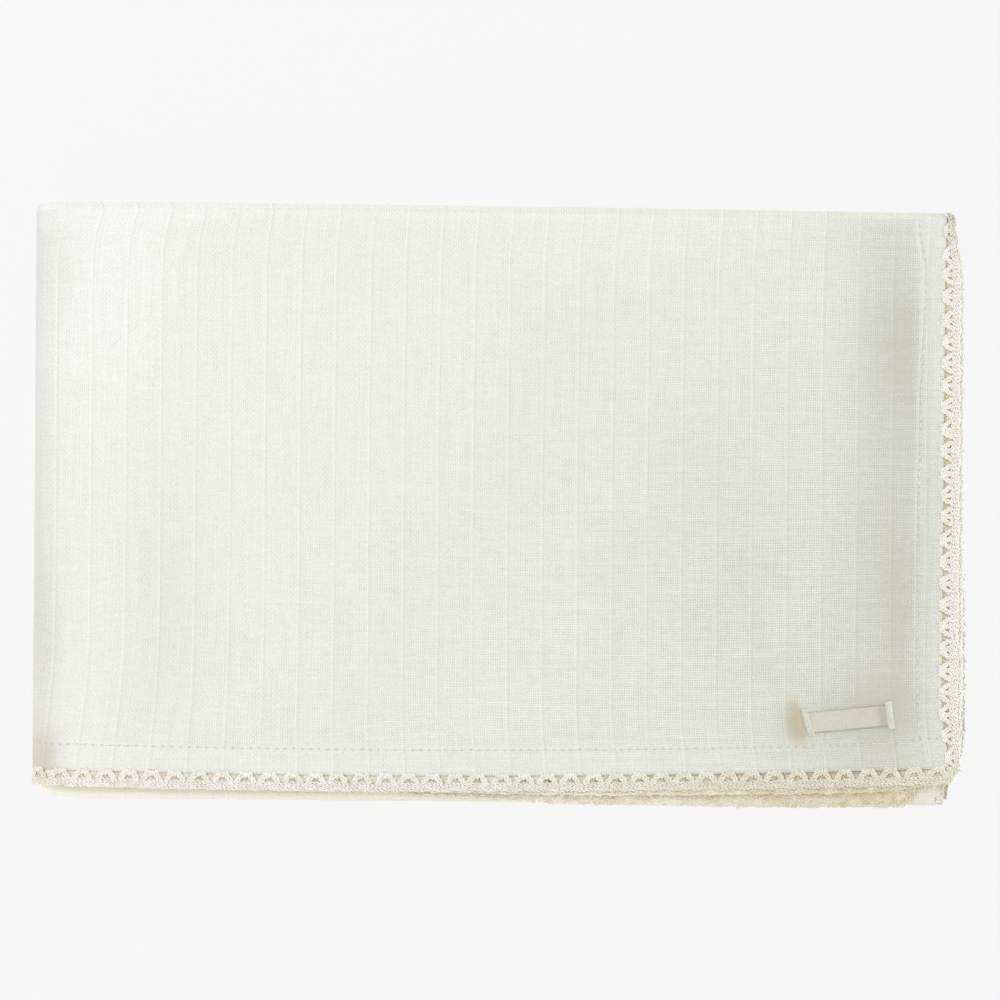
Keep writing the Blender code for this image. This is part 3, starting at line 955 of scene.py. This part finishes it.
def make_cloth():
    """The muslin as one grid over its lines. Its place on the cut cloth, in millimetres covered
    along the grid's middle lines, is its UV, and so are its distances to the seams. It carries its
    painted light and shade, painted warm shade and painted glow at its points."""
    across, along = cloth_lines()
    grid_across, grid_along = np.meshgrid(across, along, indexing="ij")
    points = cloth_point(grid_across, grid_along, 0.0)
    faces = grid_faces(len(across), len(along))

    fine = np.linspace(0, 7, 7 * MEASURE_STEPS + 1)
    cut_across = np.interp(across, fine, covered(cloth_point(fine, 0.5, 0.0)))
    fine = np.linspace(0, LAST, LAST * MEASURE_STEPS + 1)
    cut_along = np.interp(along, fine, covered(cloth_point(0.5, fine, 0.0)))
    u, v = np.meshgrid(cut_across, cut_along, indexing="ij")
    drift = swell(points[..., 0], points[..., 1], DRIFTS)
    u = u + drift * np.clip(2 - grid_across, 0, 1) * np.clip(2 - grid_along, 0, 1)
    right, front = seam_distances(np.clip(grid_across, 0, 1), np.clip(grid_along, 0, 1))
    right = np.where((grid_across <= 1) & (grid_along <= 1), right, NO_SEAM)
    front = np.where((grid_across <= 2) & (grid_along <= 1), front, NO_SEAM)

    uvs = {"cut": corner_uvs(u, v, faces) * MM, "seams": corner_uvs(right, front, faces) * MM}
    cloth = add_mesh("muslin_cloth", points.reshape(-1, 3), faces.tolist(), muslin(), uvs)
    for name, values in cloth_shades(grid_across, grid_along, points, right, front).items():
        attribute = cloth.data.attributes.new(name, "FLOAT", "POINT")
        attribute.data.foreach_set("value", values.ravel().astype(np.float32))
    return thicken(cloth, CLOTH)


# ---------------------------------------------------------------- stitches of the top hem


def on_hem(from_right, from_front, above):
    """A point on the top cloth's face, from its distances to the right hem and the front hem."""
    s = np.asarray(from_right) / LENGTH
    share = 1 - np.clip(s, 0, 1)
    lower = np.clip(s - 1, 0, 1)
    b = from_front / (place_y(1, share, lower) - place_y(0, share, lower))
    return cloth_point(s, b, CLOTH / 2 + above)


STITCH_POINTS = 6
STITCH_GAP = 0.3
STITCH_RISE = 0.12
STITCH_SINK = 0.07
STITCH_END = 6.0
THREAD = (0.14, 0.10, 5)


def make_stitches(material):
    """Running stitches: each is a short thread, a half wave above the cloth with sunk ends. A row
    lies STITCH_IN nearer to each hem than its seam."""
    part = np.linspace(0, 1, STITCH_POINTS)
    hump = np.sin(np.pi * part) * STITCH_RISE - STITCH_SINK
    stitch = STITCH_GAP + part * (STITCH_PITCH - 2 * STITCH_GAP)
    from_front = np.arange(FRONT_SEAM["depth"][-1], TOP_DEPTH - STITCH_END, STITCH_PITCH)
    from_front = from_front[:, None] + stitch
    depth = read(SIDE_SEAM, from_front + PLACES["y_right"][0]) - STITCH_IN
    side_row = on_hem(depth, from_front, hump)
    from_right = np.arange(SIDE_SEAM["depth"][0], LENGTH - 1, STITCH_PITCH)
    from_right = from_right[:, None] + stitch
    depth = read(FRONT_SEAM, RIGHT_HEM - from_right) - STITCH_IN
    front_row = on_hem(from_right, depth, hump)
    threads = strands(np.concatenate([side_row, front_row]), *THREAD)
    return add_yarns("hem_stitches", [threads], material)


# ---------------------------------------------------------------- the lace

# Spacing of the feet along each hem, and where the first foot stands, in spacings
FEET = {
    "front": (7.62, 0.31),
    "last": (7.62, 0.5),
    "first_side": (7.25, 0.47),
    "second_side": (7.25, 0.5),
}

# Each hem: whether it runs across the cloth, its own coordinate there, and the way inwards
HEMS = {
    "front": (True, 0.0, 1),
    "last": (True, float(LAST), -1),
    "first_side": (False, 0.0, 1),
    "second_side": (False, 7.0, -1),
}
LACE_DEPTH = LENGTH * 0.65
HEM_STEPS = 80

# How far the front and the side row show from the front right corner, in parts of the cloth
FRONT_SHOWN = 1.45
SIDE_SHOWN = 2

# One leg of the edging, from where it enters the hem: out from the hem, along it from the foot's
# middle, and above the cloth's middle
LEG = table(
    "out along above",
    (-0.75, 0.95, 0.10),
    (-0.35, 1.05, 0.34),
    (0, 1.15, 0.34),
    (0.7, 1.50, 0.16),
    (1.6, 2.20, 0.08),
    (2.6, 2.70, 0.06),
    (4.1, 3.10, 0.04),
)

# The two forms that the edging takes: the sides to which its legs lean from their foot, how far
# the legs and the foot's knot reach, how far a leg's outer plies lie from its middle, and the middle
# and half width of each of its ropes
FRONT_FORM = ((-1, 1), 3.0, 1.3, 0.62, ((3.05, 0.32), (3.85, 0.34), (4.60, 0.36)))
SIDE_FORM = ((-1, 0, 1), 3.1, 1.0, 0.48, ((3.2, 0.34), (3.95, 0.36), (4.65, 0.36)))
LEG_POINTS = 12
ROPE_POINTS = 16

# How far the feet sway at random, and how far the legs lean and are moved out
FOOT_SWAY = 0.18
LEG_LEAN = 0.22
LEG_SHIFT = 0.06

# Plies of a leg: how many, how far up they wind, their turns in a millimetre, and the half width,
# half height and sides of each
PLIES = 3
PLY_RISE = 0.10
PLY_TURNS = 0.22
PLY = (0.46, 0.27, 6)
PLY_SWAY = 0.10

# The knot at a foot, from inside the hem outwards
KNOT_START = -0.6
KNOT_ABOVE = np.array([0.05, 0.25, 0.30, 0.22, 0.10])
KNOT = ((0.5, 0.75, 0.8, 0.7, 0.35), 0.22, 6)
KNOT_SWAY = 0.05

# Ropes of two plies: their pitch, how far they start before the corner, how high they lie, how
# far out and up they wind, where their turns start, and the height of their scallops
ROPE_PITCH = 2.7
ROPE_START = -0.8
ROPE_ABOVE = 0.12
ROPE_OUT = 0.42
ROPE_UP = 0.15
ROPE_TURN = 0.25
ROPE_PLY = (0.27, 6)
ROPE_SWAY = 0.07
SCALLOP = 0.24

# What is folded in with the layers: the sides, reach and yarn of its legs, its level, how far out
# each rope lies and how high its scallops are, how its ropes wind, and their yarn
FOLDED_IN_SIDES = (-1, 1)
FOLDED_IN_LEG_POINTS = 4
FOLDED_IN_ROPE_POINTS = 8
FOLDED_IN_REACH = 3.2
FOLDED_IN_LEG = (1.9, 0.24, 4)
FOLDED_IN_LEVEL = -0.2
FOLDED_IN_ROPES = ((2.4, 0.40), (3.4, 0.30), (4.5, 0.10))
FOLDED_IN_WIND = (0.36, 0.10)
FOLDED_IN_ROPE = (0.38, 0.22, 4)
FOLDED_IN_SWAY = 0.16

# The fan round a corner that shows, and round one that is folded in: its level, its plies, the
# points of a leg and of a rope, the yarn of both, and how far out its ropes lie
FINE_FAN = (0.1, PLIES, 8, 19, (0.42, 0.25, 6), (0.34, 0.26, 6), (2.6, 3.5, 4.4))
PLAIN_FAN = (FOLDED_IN_LEVEL, 0, 3, 7, (0.8, 0.25, 4), (0.34, 0.26, 4), (2.4, 3.4, 4.5))
FAN_CUT = 0.22
FAN_LEG_REACH = (-0.3, 3.0)
FAN_ANGLES = np.radians(np.linspace(4, 86, 6))
FAN_SPREAD = 0.45
FAN_LEG_SWAY = 0.08
FAN_WIND = (0.40, 0.14)
FAN_PAST = 0.15

# How far the feet of the front row lie past their even places, by their distance from the side hem
DRAWN = table(
    "from_side shift",
    (0, 1.2),
    (68, 1.6),
    (84, 0.7),
    (104, 0),
    (235, 0),
    (255, 0.4),
    (290, 0.4),
)


def hem_line(hem):
    """Length of a hem, and a function that places points from millimetres along it, out from it
    and above the cloth. Each hem is a name and the range that it covers."""
    name, low, high = hem
    runs_across, fixed, inwards = HEMS[name]
    run_length = LACE_DEPTH if runs_across else LENGTH

    def cut(at, out, above):
        """Points out from the hem, from its coordinate on the cut cloth."""
        beside = fixed + inwards * past(out, run_length)
        return cloth_point(at, beside, above) if runs_across else cloth_point(beside, at, above)

    steps = np.linspace(low, high, int((high - low) * HEM_STEPS) + 1)
    length = covered(cut(steps, 0.0, 0.0))

    def place(along, out, above):
        """Points out from the hem, from the millimetres along it."""
        return cut(np.where(along < 0, along, np.interp(along, length, steps)), out, above)

    return length[-1], place


def past(out, run_length):
    """Coordinate on the cut cloth of a distance past its first hem: millimetres there, runs
    inside."""
    return -out * np.where(out < 0, 1 / run_length, 1.0)


def lace_legs(hem, length, repeats, steps, reach, sides):
    """Middle lines of all the legs of a row, as an array (legs, steps, 3), and the feet's places.

    A leg leaves its foot as the table LEG says, times its side, and leans a little at random."""
    out = np.linspace(LEG["out"][0], reach, steps)
    along = np.interp(out, LEG["out"], LEG["along"])
    above = np.interp(out, LEG["out"], LEG["above"])
    foot = (np.arange(repeats) + FEET[hem[0]][1]) * length / repeats
    foot = foot + rng.normal(0, FOOT_SWAY, repeats)
    if hem[:2] == ("front", 0):
        foot = foot + read(DRAWN, foot)
    sides = np.array(sides, float)
    shape = (repeats, len(sides), steps)
    lean = rng.normal(0, LEG_LEAN, (*shape[:2], 1)) * np.clip(out, 0, None) / reach
    u = foot[:, None, None] + sides[:, None] * along + lean
    v = out + rng.normal(0, LEG_SHIFT, (*shape[:2], 1))
    legs = np.stack(np.broadcast_arrays(u, v, above), axis=-1)
    return legs.reshape(-1, steps, 3), foot


def rope_plies(along, out, above, reach_out, reach_up, start):
    """Both plies of a rope over a row of points along the hem: flattened helices, half a turn
    apart, that reach out and up from the rope's middle by a cosine and a sine."""
    angle = (along / ROPE_PITCH + np.arange(2)[:, None] / 2 + start) * 2 * np.pi
    out, above = out + reach_out * np.cos(angle), above + reach_up * np.sin(angle)
    return np.stack(np.broadcast_arrays(along, out, above), -1)


def placed(tubes, place):
    """Puts the flat points of tubes onto a hem."""
    u, v, w = tubes["points"].T
    return {**tubes, "points": place(u, v, w)}


def uneven(paths, amount):
    """Paths with a small random sway at each point, less of it upwards."""
    return paths + rng.normal(0, amount, paths.shape) * (1, 1, 0.4)


def fine_lace(hem, form):
    """A row of the edging that shows: legs of three plies side by side, a knot between each pair
    of legs, and ropes of two plies wound the opposite ways, like a chain of slanted loops."""
    sides, reach, knot_reach, leg_spread, ropes = form
    length, place = hem_line(hem)
    spacing, first = FEET[hem[0]]
    repeats = int(round(length / spacing))
    middle, foot = lace_legs(hem, length, repeats, LEG_POINTS, reach, sides)
    legs = twist(middle, PLIES, leg_spread, PLY_RISE, PLY_TURNS, rng.random())
    found = [strands(uneven(legs, PLY_SWAY), *PLY)]
    out = np.linspace(KNOT_START, knot_reach, len(KNOT_ABOVE))
    knots = np.stack(np.broadcast_arrays(foot[:, None], out, KNOT_ABOVE), -1)
    found.append(strands(uneven(knots, KNOT_SWAY), *KNOT))
    along = np.linspace(ROPE_START, length, repeats * ROPE_POINTS + 1)
    scallop = SCALLOP * np.cos((along / length * repeats - first) * 2 * np.pi)
    for index, (line, half) in enumerate(ropes):
        way = 1 - 2 * (index % 2)
        wind = (ROPE_OUT, ROPE_UP * way, ROPE_TURN * way)
        rope = rope_plies(along, line - scallop, ROPE_ABOVE, *wind)
        found.append(strands(uneven(rope, ROPE_SWAY), half, *ROPE_PLY))
    return [placed(tubes, place) for tubes in found]


def plain_lace(hem):
    """A row of the edging folded in with the layers: flat legs, and three ropes of two plies."""
    length, place = hem_line(hem)
    spacing, first = FEET[hem[0]]
    repeats = int(round(length / spacing))
    legs = (repeats, FOLDED_IN_LEG_POINTS, FOLDED_IN_REACH, FOLDED_IN_SIDES)
    middle, _ = lace_legs(hem, length, *legs)
    middle[..., 2] = FOLDED_IN_LEVEL
    found = [strands(middle, *FOLDED_IN_LEG)]
    start = ROPE_START if hem[1] == 0 else 0.0
    along = np.linspace(start, length, repeats * FOLDED_IN_ROPE_POINTS + 1)
    wave = np.cos((along / length * repeats - first) * 2 * np.pi)
    for line, scallop in FOLDED_IN_ROPES:
        out = line - scallop * wave
        rope = rope_plies(along, out, FOLDED_IN_LEVEL, *FOLDED_IN_WIND, rng.random())
        found.append(strands(uneven(rope, FOLDED_IN_SWAY), *FOLDED_IN_ROPE))
    return [placed(tubes, place) for tubes in found]


def lace_fan(last, second, form):
    """The lace round a corner of the cloth: legs that spread from the corner, and ropes on
    quarter circles round it, pressed in halfway by FAN_CUT times the sine of twice the angle.
    Flat points there are distances to the right and ahead."""
    level, plies, leg_points, rope_points, leg_yarn, rope_yarn, lines = form

    def place(right, ahead, above):
        """Points past both hems of the corner."""
        across, along = past(right, LENGTH), past(ahead, LACE_DEPTH)
        return cloth_point(7 - across if second else across, LAST - along if last else along, above)

    def fan(angle, out, above):
        """Flat points at an angle round the corner, and out from it."""
        out = out * (1 - FAN_CUT * np.sin(2 * angle))
        return np.stack(np.broadcast_arrays(out * np.sin(angle), out * np.cos(angle), above), -1)

    legs = fan(FAN_ANGLES[:, None], np.linspace(*FAN_LEG_REACH, leg_points), level)
    if plies:
        legs = twist(legs, plies, FAN_SPREAD, PLY_RISE, PLY_TURNS)
    made = [strands(uneven(legs, FAN_LEG_SWAY), *leg_yarn)]
    arc = np.linspace(-FAN_PAST, np.pi / 2 + FAN_PAST, rope_points)
    for line in lines:
        rope = rope_plies(arc * line, line, level, *FAN_WIND, ROPE_TURN)
        rope = fan(rope[..., 0] / line, rope[..., 1], rope[..., 2])
        made.append(strands(uneven(rope, ROPE_SWAY), *rope_yarn))
    return [placed(tubes, place) for tubes in made]


def make_lace(front_yarn, side_yarn, shaded, side_shaded):
    """The edging all round the cloth, in four pieces: front, side, and what is folded in."""
    front = fine_lace(("front", 0, FRONT_SHOWN), FRONT_FORM) + lace_fan(False, False, FINE_FAN)
    side = fine_lace(("first_side", 0, SIDE_SHOWN), SIDE_FORM)
    front_rows = plain_lace(("front", FRONT_SHOWN, 7)) + plain_lace(("last", 0, 7))
    for last, second in ((False, True), (True, False), (True, True)):
        front_rows += lace_fan(last, second, PLAIN_FAN)
    side_rows = plain_lace(("first_side", SIDE_SHOWN, LAST))
    side_rows += plain_lace(("second_side", 0, LAST))
    pieces = []
    for name, parts, finish in (
        ("lace_front", front, front_yarn),
        ("lace_side", side, side_yarn),
        ("lace_front_folded_in", front_rows, shaded),
        ("lace_side_folded_in", side_rows, side_shaded),
    ):
        smooth = not name.endswith("folded_in")
        pieces.append(add_yarns(name, parts, finish, smooth))
    return pieces


# ---------------------------------------------------------------- label tape and its bars

TAPE_STEPS = 56
TAPE_ROWS = 12
TAPE_THICKNESS = 0.3
TAPE_MIDDLE = 0.25

# The bars' places along the label, and how far they lean along it for each millimetre across
BAR_PLACES = table("along lean", (-13.6, -0.17), (13.4, 0.02))
BAR_STITCHES = 36
BAR_HALF_WIDTH = 1.15
BAR_LENGTH = 8.8
BAR_SLANT = 0.10
BAR_SWAY = 0.03
BAR_ABOVE = 0.34
BAR_ARCH = 0.14
BAR_SINK = 0.40
BAR_THREAD = (0.2, 0.18, 6)


def make_label():
    """The tape as a thin arched sheet. Its own millimetres, from its middle, are its UV."""
    u, v, over = label_grid(TAPE_STEPS, TAPE_ROWS, TAPE_MIDDLE)
    points = label_points(u, v, over, True).reshape(-1, 3)
    faces = grid_faces(TAPE_STEPS + 1, TAPE_ROWS + 1)
    uvs = {"tape": corner_uvs(u, v, faces)}
    label = add_mesh("label_ribbon", points, faces.tolist(), tape(), uvs)
    return thicken(label, TAPE_THICKNESS)


def make_bars(material):
    """Satin bars at the label's ends: threads laid side by side across the bar, each a low arch
    that rises as a parabola and sinks steeply at its ends."""
    part = np.linspace(-1, 1, 7)
    found = []
    for row in BAR_PLACES:
        across = np.linspace(-1, 1, BAR_STITCHES) * BAR_LENGTH / 2
        v = across[:, None] + BAR_SLANT * part
        u = row["along"] + BAR_HALF_WIDTH * part + row["lean"] * across[:, None]
        u = u + rng.normal(0, BAR_SWAY, (BAR_STITCHES, 1))
        s, b = under_label(u, v)
        above = CLOTH / 2 + BAR_ABOVE + BAR_ARCH * (1 - part**2)
        found.append(cloth_point(s, b, above - BAR_SINK * np.abs(part) ** 6))
    return add_yarns("label_bars", [strands(np.concatenate(found), *BAR_THREAD)], material)


# ---------------------------------------------------------------- studio

PIXEL = 0.328
FRAME_WIDTH = 1000 * PIXEL
CAMERA_HEIGHT = 3000.0
CAMERA_AIM = (0.16, 1.64)
SENSOR = 36.0

# Soft boxes: place and side length in metres, power in watts, colour
LIGHTS = {
    "key": ((-0.30, 0.22, 0.50), 0.5, 1.46, (1.0, 0.98, 1.29)),
    "fill": ((-0.50, -0.60, 0.35), 0.6, 2.0, (1.0, 0.98, 1.03)),
    "side": ((0.70, 0.0, 0.14), 0.4, 2.2, (1.0, 1.04, 1.02)),
    "back": ((0.0, 0.70, 0.14), 0.4, 0.6, (1.0, 1.0, 1.0)),
}
BACKDROP_COLOUR = (1.0, 0.972, 0.85, 1)
BACKDROP_STRENGTH = 0.575


def add_light(name, place, size, power, colour):
    """A square soft box that faces the middle of the pack."""
    light = bpy.data.lights.new(name, "AREA")
    light.size = size
    light.energy = power
    light.color = colour
    lamp = link(name, light)
    lamp.location = place
    lamp.visible_camera = False
    lamp.rotation_euler = (-Vector(place)).to_track_quat("-Z", "Y").to_euler()


def make_studio():
    """A table, soft lights, and a camera straight above. Its lens makes a pixel PIXEL wide at the
    height of the pack's top: sensor times distance, divided by the width of the picture there."""
    floor = bpy.data.meshes.new("table")
    floor.from_pydata([(-3, -3, 0), (3, -3, 0), (3, 3, 0), (-3, 3, 0)], [], [(0, 1, 2, 3)])
    floor.materials.append(pale_floor())
    floor = link("table", floor)

    lens = bpy.data.cameras.new("camera")
    lens.sensor_width = SENSOR
    lens.lens = SENSOR * (CAMERA_HEIGHT - 2 * HALF_PACK) / FRAME_WIDTH
    lens.clip_end = 20
    camera = link("camera", lens)
    camera.location = (CAMERA_AIM[0] * MM, CAMERA_AIM[1] * MM, CAMERA_HEIGHT * MM)
    bpy.context.scene.camera = camera

    for name, values in LIGHTS.items():
        add_light(name, *values)
    world = bpy.data.worlds.new("studio")
    bpy.context.scene.world = world
    world.use_nodes = True
    backdrop = world.node_tree.nodes["Background"]
    backdrop.inputs["Color"].default_value = BACKDROP_COLOUR
    backdrop.inputs["Strength"].default_value = BACKDROP_STRENGTH
    bpy.context.scene.view_settings.view_transform = "Standard"


# ---------------------------------------------------------------- the blanket put together

# One crochet cotton in copies painted lighter and darker for how light falls: the side rows lighter,
# the folded-in front rows in tan painted shade, each darker still at its painted shades
WHITE_COTTON = ((0.84, 0.79, 0.64), (0.98, 0.98, 0.93))
PAINTED_SHADE_COTTON = ((0.78, 0.70, 0.50), (0.97, 0.94, 0.83))
cotton = yarn("crochet_cotton", *WHITE_COTTON, 0.66, 1.0, ((-153, 6, 0.6), (105, 60, 0.45)))
side_cotton = yarn("side_crochet_cotton", *WHITE_COTTON, 0.80, 0.8)
shaded_cotton = yarn("folded_in_cotton", *PAINTED_SHADE_COTTON, 0.70, 1.4, ((112, 34, 0.48),))
side_shaded = yarn("side_folded_in_cotton", *WHITE_COTTON, 0.90, 1.0, ((146.5, 2.2, 0.8),))
thread = yarn("sewing_thread", (0.80, 0.79, 0.69), (0.97, 0.975, 0.91))
bar_thread = yarn("bar_thread", (0.68, 0.67, 0.57), (0.84, 0.845, 0.76))
cloth = make_cloth()
stitches = make_stitches(thread)
lace = make_lace(cotton, side_cotton, shaded_cotton, side_shaded)
label = make_label()
bars = make_bars(bar_thread)

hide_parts("cloth")
for piece in lace:
    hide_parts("lace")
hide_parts("label")
for piece in (cloth, stitches, *lace, label, bars):
    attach(piece, "root")

make_studio()
